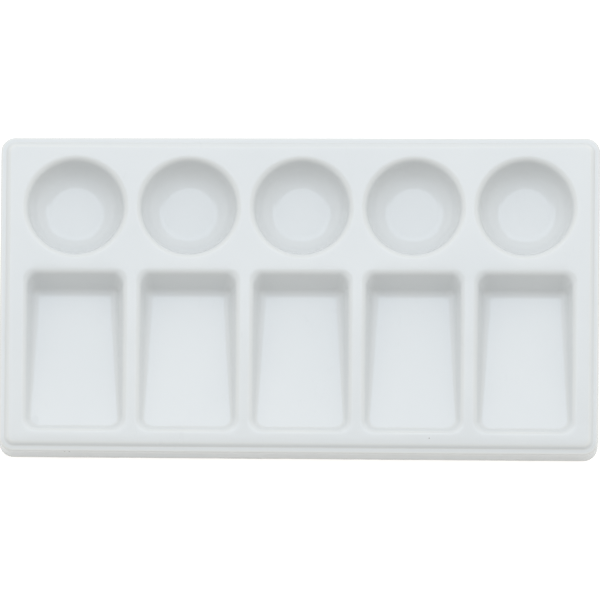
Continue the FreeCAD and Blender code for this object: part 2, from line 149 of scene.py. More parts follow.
# The sponged lower edge of the glaze: how far it wanders and between which heights.
GLAZE_EDGE_WANDER = 0.28
SLOW_WANDER = 0.09
QUICK_WANDER = 0.31
WANDER_FADES = (1.8, 3.6)
WANDER_STARTS = (0.8, 1.1)

# What drying and firing did to the shape; the sag is in shares of the half width.
WIDER_AT_ONE_END = 0.35
OUT_OF_SQUARE = 0.2
PULLED_TO_ONE_END = 0.5
STEP_SAG = 0.4
SAG_FROM = 0.80
SAG_FULL = 0.92
SWELL = 0.16
SWELL_PACE_X = 0.021
SWELL_PACE_Y = 0.024
SWELL_FROM = 0.1


# ------------------------------------------------------------------ outlines

def rounded_outline(corners, radii, sides, bends):
    """Points round four corners, counter clockwise from the back right one.

    sides holds how many steps each straight side takes and bends how many
    steps each corner takes, so two outlines with the same counts match."""
    points = []
    for index in range(4):
        here = np.array(corners[index], float)
        before = np.array(corners[index - 1], float) - here
        after = np.array(corners[(index + 1) % 4], float) - here
        before /= np.linalg.norm(before)
        after /= np.linalg.norm(after)
        half = math.acos(np.clip(before @ after, -1, 1)) / 2
        middle = here + (before + after) / np.linalg.norm(before + after) * radii[index] / math.sin(half)
        begin = here + before * radii[index] / math.tan(half)
        first = math.atan2(*(begin - middle)[::-1])
        turn = math.pi - 2 * half
        for step in range(bends + 1):
            angle = first + turn * step / bends
            points.append(middle + radii[index] * np.array([math.cos(angle), math.sin(angle)]))
        last = points[-1]
        following = np.array(corners[(index + 1) % 4], float)
        ahead = np.array(corners[(index + 2) % 4], float) - following
        ahead /= np.linalg.norm(ahead)
        half = math.acos(np.clip(-after @ ahead, -1, 1)) / 2
        arrive = following - after * radii[(index + 1) % 4] / math.tan(half)
        for step in range(1, sides[index]):
            points.append(last + (arrive - last) * step / sides[index])
    return np.array(points)


def rectangle(half_x, half_y):
    """The four corners of a rectangle about the origin, from the back right one."""
    return [(half_x, half_y), (-half_x, half_y), (-half_x, -half_y), (half_x, -half_y)]


# How many steps a straight side, a corner, a circle or a wall is drawn in: fine on
# the surfaces that show and coarse on those that lie against another piece.
RIM_SIDES = (100, 54, 100, 54)
RIM_BENDS = 10
WELL_SIDES = {"fine": (26, 40, 26, 40), "coarse": (13, 20, 13, 20)}
WELL_BENDS = {"fine": 9, "coarse": 5}
BOWL_STEPS = {"fine": 120, "coarse": 60}
WALL_RINGS = {"fine": 30, "coarse": 14}
BOWL_RINGS = {"fine": 38, "coarse": 18}
EDGE_STEPS = 8
HOLLOW_STEPS = 6
FOOT_STEPS = 5
INNER_FOOT_STEPS = 4
INNER_RIM_STEPS = 4


def rim_outline(inset, corner=None):
    """The outline of the palette, moved in from its outer edge."""
    radius = OUTER_CORNER - CORNER_SHRINK * inset if corner is None else corner
    corners = rectangle(HALF_LENGTH - inset, HALF_WIDTH - inset)
    return rounded_outline(corners, [radius] * 4, RIM_SIDES, RIM_BENDS)


RIM_AROUND = rim_outline(0.0)


def hollow_outline(inset):
    """The outline of the hollow underneath, moved in from the outer edge."""
    return rim_outline(inset, HOLLOW_CORNER - (inset - RING_WIDTH))


def bowl_outline(middle, radius, detail):
    """A circle of points round a bowl's centre."""
    angles = np.linspace(0, 2 * math.pi, BOWL_STEPS[detail], endpoint=False)
    return np.stack([middle + radius * np.cos(angles), BOWL_MIDDLE + radius * np.sin(angles)], 1)


def slant_outline(middle, back, front, halves, radii, detail):
    """Four rounded corners of a slanted well; halves and radii are back, front."""
    corners = [(middle + halves[0], back), (middle - halves[0], back),
               (middle - halves[1], front), (middle + halves[1], front)]
    order = [radii[0], radii[0], radii[1], radii[1]]
    return rounded_outline(corners, order, WELL_SIDES[detail], WELL_BENDS[detail])


def facing_shares(detail):
    """For each point of a slanted outline, how much of the back and of the front
    wall it belongs to; what is left belongs to a side wall."""
    bends = WELL_BENDS[detail]
    sides = WELL_SIDES[detail]
    ease = [(1 - math.cos(math.pi * step / bends)) / 2 for step in range(bends + 1)]
    back = ease + [1.0] * (sides[0] - 1) + ease[::-1] + [0.0] * (sides[1] - 1)
    back += [0.0] * (bends + 1 + sides[2] - 1 + bends + 1 + sides[3] - 1)
    front = [0.0] * (bends + 1 + sides[0] - 1 + bends + 1 + sides[1] - 1)
    front += ease + [1.0] * (sides[2] - 1) + ease[::-1] + [0.0] * (sides[3] - 1)
    return np.array(back), np.array(front)


# ------------------------------------------------------------------ the wells' walls

LEAST_TURN = 1e-4


def swoop(along, depth, slope, lip, hollow):
    """How far down a wall is, as a share of its depth.

    along runs from 0 where the lip starts to turn down to 1 where the floor
    begins; the wall turns over the lip's radius to its slope and turns back
    over the hollow's radius.  A shallow wall never reaches its full slope."""
    reachable = np.clip(1 - depth / (lip + hollow), -1, 1)
    turn = np.maximum(np.minimum(slope, np.arccos(reachable)), LEAST_TURN)
    lead = lip * np.tan(turn / 2)
    tail = hollow * np.tan(turn / 2)
    reached = depth / np.tan(turn)
    place = along * (lead + reached + tail) - lead
    over_lip = lip - np.sqrt(np.maximum(lip ** 2 - (place + lead) ** 2, 0))
    left = reached + tail - place
    into_hollow = depth - hollow + np.sqrt(np.maximum(hollow ** 2 - left ** 2, 0))
    drop = np.where(place < lead * np.cos(turn), over_lip, place * np.tan(turn))
    drop = np.where(place > reached - tail * np.cos(turn), into_hollow, drop)
    return drop / depth


def slanted_depth(y):
    """Depth of the slanted floor under the plateau."""
    return DEEP - FLOOR_RISE * (DEEP_END - y)


def toward_deep_end(y):
    """0 at the shallow end of a slanted floor and 1 at its deep end."""
    share = (y - SLANT_FLOOR_FRONT) / (SLANT_FLOOR_BACK - SLANT_FLOOR_FRONT)
    return np.clip(share, 0, 1)


def ring_sheet(outer, inner, rings, height):
    """Rings of points from one outline to another; height gives each its z from
    the share of the way, the x and the y."""
    along = np.linspace(0, 1, rings + 1)[:, None]
    x = outer[None, :, 0] * (1 - along) + inner[None, :, 0] * along
    y = outer[None, :, 1] * (1 - along) + inner[None, :, 1] * along
    z = height(along, x, y)
    return np.stack([x, y, z], 2)


# ------------------------------------------------------------------ joining skins

JOIN_WITHIN = 0.0002
NO_LENGTH = 0.00001


class Skin:
    """Points and faces gathered for one mesh, in mm."""

    def __init__(self):
        self.points = []
        self.faces = []
        self.count = 0

    def add_rings(self, sheet):
        """Faces between rings of points that close on themselves."""
        rings, around, _ = sheet.shape
        self.points.append(sheet.reshape(-1, 3))
        here = np.arange(around)
        after = (here + 1) % around
        for ring in range(rings - 1):
            low = self.count + ring * around
            high = low + around
            quads = np.stack([low + here, low + after, high + after, high + here], 1)
            self.faces.extend(quads.tolist())
        self.count += rings * around

    def add_flat(self, outline, holes, spacing, height):
        """Triangles over the area inside an outline and outside the holes."""
        points, faces = flat_triangles(outline, holes, spacing)
        z = height(points[:, 0], points[:, 1])
        self.points.append(np.column_stack([points, z]))
        self.faces.extend([[self.count + corner for corner in face] for face in faces])
        self.count += len(points)

    def to_piece(self, name):
        """A Blender object with the skin's parts joined where they meet."""
        points = fired(np.concatenate(self.points)) * MM
        mesh = bpy.data.meshes.new(name)
        mesh.from_pydata(points.tolist(), [], self.faces)
        work = bmesh.new()
        work.from_mesh(mesh)
        bmesh.ops.remove_doubles(work, verts=work.verts, dist=JOIN_WITHIN * MM)
        bmesh.ops.dissolve_degenerate(work, edges=work.edges, dist=NO_LENGTH * MM)
        bmesh.ops.recalc_face_normals(work, faces=work.faces)
        for face in work.faces:
            face.smooth = True
        work.to_mesh(mesh)
        work.free()
        mark_hollowness(mesh)
        piece = bpy.data.objects.new(name, mesh)
        bpy.context.scene.collection.objects.link(piece)
        return piece


HOLLOWNESS_BLUR = 6
HOLLOWNESS_FULL = 0.6
SHARPEST_BEND = 1.5
SHORTEST_SQUARED = 1e-9


def mark_hollowness(mesh):
    """Stores how hollow the surface is at each point, from 0 on a sharp ridge
    through 0.5 on the flat to 1 in a tight hollow, where glaze gathers and shade is painted."""
    count = len(mesh.vertices)
    points = np.empty(count * 3)
    mesh.vertices.foreach_get("co", points)
    points = points.reshape(-1, 3) / MM
    normals = np.array([vertex.normal[:] for vertex in mesh.vertices])
    ends = np.empty(len(mesh.edges) * 2, int)
    mesh.edges.foreach_get("vertices", ends)
    one, other = ends[0::2], ends[1::2]
    one, other = np.concatenate([one, other]), np.concatenate([other, one])
    step = points[other] - points[one]
    squared = np.maximum((step ** 2).sum(1), SHORTEST_SQUARED)
    bend_toward = (step * normals[one]).sum(1) * 2 / squared
    number = np.maximum(np.bincount(one, minlength=count), 1)
    hollow = np.bincount(one, np.clip(bend_toward, -SHARPEST_BEND, SHARPEST_BEND), count) / number
    for _ in range(HOLLOWNESS_BLUR):
        hollow = (hollow + np.bincount(one, hollow[other], count) / number) / 2
    layer = mesh.attributes.new("hollowness", "FLOAT", "POINT")
    layer.data.foreach_set("value", np.clip(0.5 + 0.5 * hollow / HOLLOWNESS_FULL, 0, 1))


def inside(points, outline):
    """Whether each point is inside a closed outline."""
    x, y = points[:, 0], points[:, 1]
    hit = np.zeros(len(points), bool)
    before = np.roll(outline, 1, 0)
    for (ax, ay), (bx, by) in zip(outline, before):
        crosses = (ay > y) != (by > y)
        if ay != by:
            hit ^= crosses & (x < (bx - ax) * (y - ay) / (by - ay) + ax)
    return hit


def away_from(points, outline, distance):
    """Whether each point is further than a distance from every outline point."""
    keep = np.ones(len(points), bool)
    for place in outline:
        keep &= np.hypot(points[:, 0] - place[0], points[:, 1] - place[1]) > distance
    return keep


def spread_from(start, faces, walls):
    """The faces reached from one face without crossing a wall edge."""
    owners = {}
    for number, face in enumerate(faces):
        for corner in range(3):
            edge = frozenset((face[corner], face[corner - 1]))
            owners.setdefault(edge, []).append(number)
    reached = {start}
    waiting = [start]
    while waiting:
        face = faces[waiting.pop()]
        for corner in range(3):
            edge = frozenset((face[corner], face[corner - 1]))
            if edge in walls:
                continue
            for neighbour in owners[edge]:
                if neighbour not in reached:
                    reached.add(neighbour)
                    waiting.append(neighbour)
    return reached


# The kind of triangulation that keeps only what lies inside the outline.
ENCLOSED = 1
SAME_POINT = 1e-7
CLEAR_OF_OUTLINE = 0.6


def flat_triangles(outline, holes, spacing):
    """Triangles with even inner points between an outline and its holes."""
    low = outline.min(0)
    high = outline.max(0)
    rows = np.arange(low[1], high[1], spacing * math.sqrt(3) / 2)
    grid = []
    for number, y in enumerate(rows):
        start = low[0] + (number % 2) * spacing / 2
        xs = np.arange(start, high[0], spacing)
        grid.append(np.stack([xs, np.full(len(xs), y)], 1))
    grid = np.concatenate(grid)
    grid = grid[inside(grid, outline)]
    grid = grid[away_from(grid, outline, spacing * CLEAR_OF_OUTLINE)]
    for hole in holes:
        grid = grid[~inside(grid, hole)]
        grid = grid[away_from(grid, hole, spacing * CLEAR_OF_OUTLINE)]
    loops = [outline] + list(holes)
    points = np.concatenate(loops + [grid])
    edges = []
    first = 0
    for loop in loops:
        count = len(loop)
        edges += [(first + step, first + (step + 1) % count) for step in range(count)]
        first += count
    made = delaunay_2d_cdt([Vector(point) for point in points], edges, [], ENCLOSED, SAME_POINT)
    corners = np.array([tuple(vertex) for vertex in made[0]])
    faces = [list(face) for face in made[2]]
    middles = corners[np.array(faces)].mean(1)
    walls = {frozenset(edge) for edge in edges}
    dropped = set()
    for hole in holes:
        nearest = int(np.hypot(*(middles - hole.mean(0)).T).argmin())
        dropped |= spread_from(nearest, faces, walls)
    return corners, [face for number, face in enumerate(faces) if number not in dropped]


# ------------------------------------------------------------------ bowls and slants

WELL_MIDDLES = [(number - (WELLS - 1) / 2) * PITCH for number in range(WELLS)]
FLAT_SPACING = {"fine": 2.2, "coarse": 4.0}


def add_bowl(skin, middle, top, depth, mouth, lip, hollow, detail):
    """The wall and floor of one bowl, or of a bowl's back, under a level."""
    outer = bowl_outline(middle, mouth, detail)
    inner = bowl_outline(middle, BOWL_FLOOR, detail)

    def height(along, x, y):
        return top - depth * swoop(along, depth, WALL_SLOPE, lip, hollow) + 0 * x

    skin.add_rings(ring_sheet(outer, inner, BOWL_RINGS[detail], height))
    skin.add_flat(inner, [], FLAT_SPACING[detail], lambda x, y: top - depth + 0 * x)
    return outer


def add_slant(skin, outer, inner, top, depth_at, lip, hollow_more, detail):
    """The walls and floor of one slanted well, or of its back, under a level."""
    back, front = facing_shares(detail)
    deep = toward_deep_end(inner[:, 1])
    slope = RUNOUT_SLOPE + (WALL_SLOPE - RUNOUT_SLOPE) * deep
    slope = slope * (1 - back - front) + BACK_SLOPE * back + FRONT_SLOPE * front
    hollow = SHALLOW_HOLLOW + (DEEP_HOLLOW - SHALLOW_HOLLOW) * deep + hollow_more
    depth = depth_at(inner[:, 1])

    def height(along, x, y):
        return top - depth_at(y) * swoop(along, depth, slope, lip, hollow)

    skin.add_rings(ring_sheet(outer, inner, WALL_RINGS[detail], height))
    skin.add_flat(inner, [], FLAT_SPACING[detail], lambda x, y: top - depth_at(y))


def slant_floor(middle, front, detail):
    """Where the level part of a slanted well's floor begins."""
    return slant_outline(middle, SLANT_FLOOR_BACK, front,
                         (SLANT_FLOOR_DEEP, SLANT_FLOOR_SHALLOW),
                         (SLANT_DEEP_CORNER, SLANT_SHALLOW_CORNER), detail)


def slant_mouth(middle, detail):
    """Where the lips of a slanted well begin to turn down."""
    return slant_outline(middle, SLANT_MOUTH_BACK, SLANT_MOUTH_FRONT,
                         (SLANT_MOUTH, SLANT_MOUTH),
                         (SLANT_MOUTH_CORNER, SLANT_MOUTH_CORNER), detail)


# ------------------------------------------------------------------ sections of the rim

def bend(middle, radius, first, last, steps):
    """Points on a round stretch of a section, in (inset, z); angles in degrees."""
    angles = np.radians(np.linspace(first, last, steps + 1))
    return [(middle[0] + radius * math.cos(a), middle[1] + radius * math.sin(a)) for a in angles]


def upper_section(under):
    """From the plateau's edge over the step and the shoulder to the outer side,
    at a distance under the finished surface."""
    slope = math.degrees(STEP_SLOPE)
    top = STEP_INSET + STEP_EDGE * reach(STEP_SLOPE)
    foot = STEP_INSET - run(STEP_HEIGHT, STEP_SLOPE) - STEP_HOLLOW * reach(STEP_SLOPE)
    edge = bend((top, PLATEAU - STEP_EDGE), STEP_EDGE - under, 90, 90 + slope, EDGE_STEPS)
    hollow = bend((foot, SHOULDER + STEP_HOLLOW), STEP_HOLLOW + under, slope - 90, -90, HOLLOW_STEPS)
    outer = bend((SHOULDER_EDGE, SHOULDER - SHOULDER_EDGE), SHOULDER_EDGE - under, 90, 180, EDGE_STEPS)
    return edge + hollow + outer


def hollow_section(under, start):
    """From a height on the inner side of the rim up to the roof of the hollow,
    at a distance behind the glaze."""
    foot = RING_WIDTH - under / math.sin(RIM_SLOPE)
    roof = ROOF + under
    radius = BOSS_HOLLOW + under
    corner = foot + run(roof, RIM_SLOPE)
    levels = np.linspace(start, roof - radius, INNER_RIM_STEPS + 1)[:-1]
    side = [(foot + run(z, RIM_SLOPE), z) for z in levels]
    lean = 90 - math.degrees(RIM_SLOPE)
    middle = (corner + radius * reach(RIM_SLOPE), roof - radius)
    return side + bend(middle, radius, 180 - lean, 90, HOLLOW_STEPS)


def rim_sheet(section, outline):
    """Rings of points that follow a section all round the rim."""
    rings = [np.column_stack([outline(inset), np.full(len(RIM_AROUND), z)]) for inset, z in section]
    sheet = np.array(rings)
    sheet[..., 2] += wiped_edge(sheet)
    return sheet


def ramp(value, start, end):
    """0 before start and 1 after end, straight between them."""
    return np.clip((value - start) / (end - start), 0, 1)


def drift(points, pace_x, pace_y, layer):
    """A smooth random rise and fall over places, about -1 to 1; the paces say how
    quickly it changes along x and along y."""
    return np.array([noise.noise(Vector((x * pace_x, y * pace_y, layer))) for x, y in points])


def wiped_edge(sheet):
    """How much the lower edge of the glaze wanders where it was sponged off."""
    slow = drift(RIM_AROUND, SLOW_WANDER, SLOW_WANDER, 4.0)
    quick = drift(RIM_AROUND, QUICK_WANDER, QUICK_WANDER, 9.0)
    z = sheet[..., 2]
    near_edge = ramp(z, *WANDER_STARTS) * (1 - ramp(z, *WANDER_FADES))
    return GLAZE_EDGE_WANDER * (slow + quick / 2)[None, :] * near_edge


# ------------------------------------------------------------------ the two surfaces

def add_upper_surface(skin, under, detail, last):
    """Plateau, wells, step, shoulder and outer side, at a distance under the
    finished surface; last ends the section at the foot of the outer side."""
    top = PLATEAU - under
    mouths = []
    for middle in WELL_MIDDLES:
        mouths.append(add_bowl(skin, middle, top, BOWL_DEPTH, BOWL_MOUTH,
                               LIP - under, BOWL_HOLLOW + under, detail))
        mouth = slant_mouth(middle, detail)
        floor = slant_floor(middle, SLANT_FLOOR_FRONT, detail)
        add_slant(skin, mouth, floor, top, slanted_depth, LIP - under, under, detail)
        mouths.append(mouth)
    section = upper_section(under) + last
    sheet = rim_sheet(section, rim_outline)
    skin.add_rings(sheet)
    skin.add_flat(sheet[0][:, :2], mouths, FLAT_SPACING[detail], lambda x, y: top + 0 * x)


def boss_depth(y):
    """How far the back of a slanted well hangs under the roof of the hollow; it
    eases out to nothing toward the shallow end."""
    depth = slanted_depth(y) - (PLATEAU - BACKING - ROOF)
    return (depth + np.sqrt(depth ** 2 + BOSS_EASE ** 2)) / 2


def boss_growth(slope):
    """How far the back of a wall lies outside the same wall's lip, at the roof."""
    return (BACKING + BOSS_HOLLOW - LIP) * reach(slope) - run(PLATEAU - BACKING - ROOF, slope)


def add_lower_surface(skin, under, detail, first):
    """The hollow's inner rim, roof and the backs of the wells, at a distance
    behind the glaze; first begins the section at the foot of the inner rim."""
    roof = ROOF + under
    lip = BOSS_HOLLOW + under
    bowl_depth = BOWL_DEPTH - (PLATEAU - BACKING - ROOF)
    bowl_mouth = BOWL_MOUTH + boss_growth(WALL_SLOPE)
    half = SLANT_MOUTH + boss_growth(WALL_SLOPE)
    back = SLANT_MOUTH_BACK + boss_growth(BACK_SLOPE)
    holes = []
    for middle in WELL_MIDDLES:
        holes.append(add_bowl(skin, middle, roof, bowl_depth, bowl_mouth, lip,
                              BOWL_HOLLOW + BACKING - under, detail))
        outer = slant_outline(middle, back, BOSS_FRONT, (half, half),
                              (SLANT_MOUTH_CORNER, SLANT_MOUTH_CORNER), detail)
        inner = slant_floor(middle, BOSS_FRONT + BOSS_FRONT_WALL, detail)
        add_slant(skin, outer, inner, roof, boss_depth, lip, BACKING - under, detail)
        holes.append(outer)
    start = first[-1][1]
    section = first[:-1] + hollow_section(under, start)
    sheet = rim_sheet(section, hollow_outline)
    skin.add_rings(sheet)
    skin.add_flat(sheet[-1][:, :2], holes, FLAT_SPACING[detail], lambda x, y: roof + 0 * x)


def fired(points):
    """Small changes of shape from drying and firing: one end a little wider than
    the other, the back of the step sagging in, and a gentle unevenness."""
    x, y, z = points[:, 0].copy(), points[:, 1].copy(), points[:, 2].copy()
    along = x / HALF_LENGTH
    across = y / HALF_WIDTH
    y += WIDER_AT_ONE_END * along * across
    x += OUT_OF_SQUARE * (1 + along) * across - PULLED_TO_ONE_END * along ** 2
    y -= STEP_SAG * (1 - along ** 2) * ramp(z, SHOULDER, PLATEAU) * ramp(across, SAG_FROM, SAG_FULL)
    swell = drift(points[:, :2], SWELL_PACE_X, SWELL_PACE_Y, 1.7)
    z += SWELL * swell * np.clip(z / PLATEAU - SWELL_FROM, 0, 1)
    return np.column_stack([x, y, z])


# ------------------------------------------------------------------ pieces

# Heights on the outer side, closer together toward the glaze's lower edge, and the
# round of that edge as steps (out from the clay as a share of the coat, up).
GLAZED_SIDE = (9.0, 7.5, 6.0, 4.5, 3.4, 2.6, 2.0)
CLAY_SIDE = (8.0, 5.0, 3.4, 2.0)
OUTER_BEAD = ((0.9, 0.35), (2 / 3, 0.16), (1 / 3, 0.05), (0.0, 0.0))
INNER_BEAD = ((0.0, 0.0), (0.35, 0.05), (0.7, 0.16), (0.95, 0.35), (1.03, 0.6))


def glaze_top_piece():
    """The coat over the top and sides, with a rounded lower edge."""
    skin = Skin()
    outer_end = [(0.0, z) for z in GLAZED_SIDE]
    outer_end += [(COAT * (1 - share), BARE_BAND + rise) for share, rise in OUTER_BEAD]
    add_upper_surface(skin, 0.0, "fine", outer_end)
    inner_end = [(COAT, z) for z in CLAY_SIDE + (BARE_BAND,)]
    add_upper_surface(skin, COAT, "coarse", inner_end)
    return skin.to_piece("glaze_coat_top")


def clay_piece():
    """The fired clay, from under the glaze down to the foot ring and back up."""
    skin = Skin()
    foot = [(COAT, z) for z in CLAY_SIDE + (BARE_BAND,)]
    foot += bend((COAT + FOOT_ROUND, FOOT_ROUND), FOOT_ROUND, 180, 270, FOOT_STEPS)
    add_upper_surface(skin, COAT, "coarse", foot)
    middle = CLAY_INSIDE - INNER_FOOT_ROUND * reach(RIM_SLOPE)
    turned = math.degrees(RIM_SLOPE)
    rise = bend((middle, INNER_FOOT_ROUND), INNER_FOOT_ROUND, -90, turned - 90, INNER_FOOT_STEPS)
    add_lower_surface(skin, COAT, "coarse", rise)
    edges = (rim_outline(foot[-1][0]), hollow_outline(rise[0][0]))
    skin.add_rings(np.array([np.column_stack([edge, np.zeros(len(edge))]) for edge in edges]))
    return skin.to_piece("fired_clay")


def glaze_underside_piece():
    """The coat inside the hollow, from the wiped band up over the wells' backs."""
    skin = Skin()
    bead = [(CLAY_INSIDE + share * COAT + run(BARE_BAND + rise, RIM_SLOPE), BARE_BAND + rise)
            for share, rise in INNER_BEAD]
    add_lower_surface(skin, 0.0, "fine", bead)
    add_lower_surface(skin, COAT, "coarse", bead[:1])
    return skin.to_piece("glaze_coat_underside")


glaze_top = glaze_top_piece()
clay = clay_piece()
glaze_underside = glaze_underside_piece()

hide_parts("glaze_top")
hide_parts("porcelain_body")
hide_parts("glaze_underside")
for piece in (glaze_top, clay, glaze_underside):
    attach(piece, "root")


# ------------------------------------------------------------------ effects shared by the finishes

def node_group(name, inputs, outputs):
    """An empty shader node group with named sockets; inputs give default values."""
    group = bpy.data.node_groups.new(name, "ShaderNodeTree")
    for label, kind, value in inputs:
        socket = group.interface.new_socket(name=label, in_out="INPUT", socket_type=kind)
        if value is not None:
            socket.default_value = value
    for label, kind in outputs:
        group.interface.new_socket(name=label, in_out="OUTPUT", socket_type=kind)
    return group


class Wiring:
    """Adds nodes to a tree and joins them."""

    def __init__(self, tree):
        self.tree = tree

    def node(self, kind, settings=None, **values):
        """A node with settings on the node and values or links on its inputs."""
        made = self.tree.nodes.new(kind)
        for label, value in (settings or {}).items():
            setattr(made, label, value)
        for label, value in values.items():
            self.feed(made.inputs[label.replace("_", " ")], value)
        return made

    def feed(self, socket, value):
        """Links an output to an input, or sets the input to a plain value."""
        if isinstance(value, bpy.types.NodeSocket):
            self.tree.links.new(value, socket)
        else:
            socket.default_value = value

    def math(self, operation, *values):
        """The result of a Math node."""
        made = self.tree.nodes.new("ShaderNodeMath")
        made.operation = operation
        for socket, value in zip(made.inputs, values):
            self.feed(socket, value)
        return made.outputs[0]

    def vector(self, operation, *values):
        """The vector result of a Vector Math node."""
        made = self.tree.nodes.new("ShaderNodeVectorMath")
        made.operation = operation
        for socket, value in zip(made.inputs, values):
            self.feed(socket, value)
        return made.outputs["Vector"]

    def spread(self, value, low, high, new_low, new_high):
        """A value moved smoothly from one range to another."""
        made = self.node("ShaderNodeMapRange", {"interpolation_type": "SMOOTHSTEP"})
        for label, number in (("Value", value), ("From Min", low), ("From Max", high),
                              ("To Min", new_low), ("To Max", new_high)):
            self.feed(made.inputs[label], number)
        return made.outputs["Result"]

    def blend(self, share, first, second):
        """One colour laid over another by a share."""
        made = self.node("ShaderNodeMix", {"data_type": "RGBA"})
        self.feed(made.inputs[0], share)
        self.feed(made.inputs[6], first)
        self.feed(made.inputs[7], second)
        return made.outputs[2]

    def place(self):
        """Where a point of the surface is, in mm."""
        spot = self.node("ShaderNodeTexCoord").outputs["Object"]
        made = self.tree.nodes.new("ShaderNodeVectorMath")
        made.operation = "SCALE"
        self.feed(made.inputs[0], spot)
        made.inputs["Scale"].default_value = 1 / MM
        return made.outputs["Vector"]

    def effect(self, group, output, **values):
        """One output of a shared effect, placed with its own values."""
        made = self.tree.nodes.new("ShaderNodeGroup")
        made.node_tree = group
        for label, value in values.items():
            self.feed(made.inputs[label.replace("_", " ")], value)
        return made.outputs[output]


def start_group(group):
    """The wiring, the input sockets by name and the output node of a group."""
    wiring = Wiring(group)
    entry = group.nodes.new("NodeGroupInput")
    leave = group.nodes.new("NodeGroupOutput")
    return wiring, entry.outputs, leave.inputs


# Each of these is how a pattern is stretched: from and to on the pattern, then from
# and to on the mask that it makes.
MOTTLE_CONTRAST = (0.28, 0.72, 0.0, 1.0)
SPECK_BORDER = (0.35, 0.6, 1.0, 0.0)
SCUFF_LINE = (0.2, 1.0, 1.0, 0.0)
SCUFF_PATCHES = (0.55, 0.68, 0.0, 1.0)
SPOT_BORDER = (0.45, 1.0, 1.0, 0.0)
SMALLEST_SPECK = 0.3


def make_mottle():
    """Soft blotches of a given size, from 0 to 1."""
    group = node_group("mottle", [("Place", "NodeSocketVector", None),
                                  ("Size", "NodeSocketFloat", 10.0),
                                  ("Detail", "NodeSocketFloat", 3.0)],
                       [("Value", "NodeSocketFloat")])
    wiring, given, result = start_group(group)
    scale = wiring.math("DIVIDE", 1.0, given["Size"])
    cloud = wiring.node("ShaderNodeTexNoise", Vector=given["Place"], Scale=scale, Detail=given["Detail"])
    wiring.feed(result["Value"], wiring.spread(cloud.outputs["Fac"], *MOTTLE_CONTRAST))
    return group


def make_specks():
    """Round specks scattered over the surface, of uneven sizes; Share is how many
    of the places have one."""
    group = node_group("specks", [("Place", "NodeSocketVector", None),
                                  ("Spacing", "NodeSocketFloat", 5.0),
                                  ("Size", "NodeSocketFloat", 0.3),
                                  ("Share", "NodeSocketFloat", 0.2)],
                       [("Mask", "NodeSocketFloat")])
    wiring, given, result = start_group(group)
    scale = wiring.math("DIVIDE", 1.0, given["Spacing"])
    cells = wiring.node("ShaderNodeTexVoronoi", Vector=given["Place"], Scale=scale)
    away = wiring.math("MULTIPLY", cells.outputs["Distance"], given["Spacing"])
    parts = wiring.node("ShaderNodeSeparateColor", Color=cells.outputs["Color"])
    share_of_size = wiring.math("ADD", SMALLEST_SPECK, parts.outputs["Green"])
    radius = wiring.math("MULTIPLY", given["Size"], share_of_size)
    dot = wiring.spread(wiring.math("DIVIDE", away, radius), *SPECK_BORDER)
    chosen = wiring.math("LESS_THAN", parts.outputs["Red"], given["Share"])
    wiring.feed(result["Mask"], wiring.math("MULTIPLY", dot, chosen))
    return group


def make_scuffs():
    """Short fine scratches lying roughly along one direction, from 0 to 1."""
    group = node_group("scuffs", [("Place", "NodeSocketVector", None),
                                  ("Stretch", "NodeSocketVector", (1.0, 1.0, 1.0)),
                                  ("Spacing", "NodeSocketFloat", 4.0),
                                  ("Width", "NodeSocketFloat", 0.02)],
                       [("Mask", "NodeSocketFloat")])
    wiring, given, result = start_group(group)
    stretched = wiring.vector("MULTIPLY", given["Place"], given["Stretch"])
    scale = wiring.math("DIVIDE", 1.0, given["Spacing"])
    lines = wiring.node("ShaderNodeTexNoise", Vector=stretched, Scale=scale, Detail=2.0, Distortion=0.6)
    off_line = wiring.math("ABSOLUTE", wiring.math("SUBTRACT", lines.outputs["Fac"], 0.5))
    line = wiring.spread(wiring.math("DIVIDE", off_line, given["Width"]), *SCUFF_LINE)
    patches = wiring.node("ShaderNodeTexNoise", Vector=given["Place"], Scale=0.08, Detail=1.0)
    chosen = wiring.spread(patches.outputs["Fac"], *SCUFF_PATCHES)
    wiring.feed(result["Mask"], wiring.math("MULTIPLY", line, chosen))
    return group


def make_spot():
    """One ragged mark at a place, from 0 to 1."""
    group = node_group("spot", [("Place", "NodeSocketVector", None),
                                ("Centre", "NodeSocketVector", (0.0, 0.0, 0.0)),
                                ("Radius", "NodeSocketFloat", 1.0),
                                ("Ragged", "NodeSocketFloat", 0.5)],
                       [("Mask", "NodeSocketFloat")])
    wiring, given, result = start_group(group)
    apart = wiring.node("ShaderNodeVectorMath", {"operation": "DISTANCE"})
    wiring.feed(apart.inputs[0], given["Place"])
    wiring.feed(apart.inputs[1], given["Centre"])
    outward = wiring.math("DIVIDE", apart.outputs["Value"], given["Radius"])
    scale = wiring.math("DIVIDE", 1.6, given["Radius"])
    edge = wiring.node("ShaderNodeTexNoise", Vector=given["Place"], Scale=scale, Detail=3.0)
    wobble = wiring.math("MULTIPLY", wiring.math("SUBTRACT", edge.outputs["Fac"], 0.5), given["Ragged"])
    wiring.feed(result["Mask"], wiring.spread(wiring.math("ADD", outward, wobble), *SPOT_BORDER))
    return group


def make_height_band():
    """1 below one height and 0 above another, with an uneven border between."""
    group = node_group("height_band", [("Place", "NodeSocketVector", None),
                                       ("Low", "NodeSocketFloat", 0.0),
                                       ("High", "NodeSocketFloat", 1.0),
                                       ("Uneven", "NodeSocketFloat", 0.3)],
                       [("Mask", "NodeSocketFloat")])
    wiring, given, result = start_group(group)
    height = wiring.node("ShaderNodeSeparateXYZ", Vector=given["Place"]).outputs["Z"]
    edge = wiring.node("ShaderNodeTexNoise", Vector=given["Place"], Scale=0.35, Detail=3.0)
    wobble = wiring.math("MULTIPLY", wiring.math("SUBTRACT", edge.outputs["Fac"], 0.5), given["Uneven"])
    wiring.feed(result["Mask"], wiring.spread(wiring.math("ADD", height, wobble),
                                              given["Low"], given["High"], 1.0, 0.0))
    return group


MOTTLE = make_mottle()
SPECKS = make_specks()
SCUFFS = make_scuffs()
SPOT = make_spot()
HEIGHT_BAND = make_height_band()


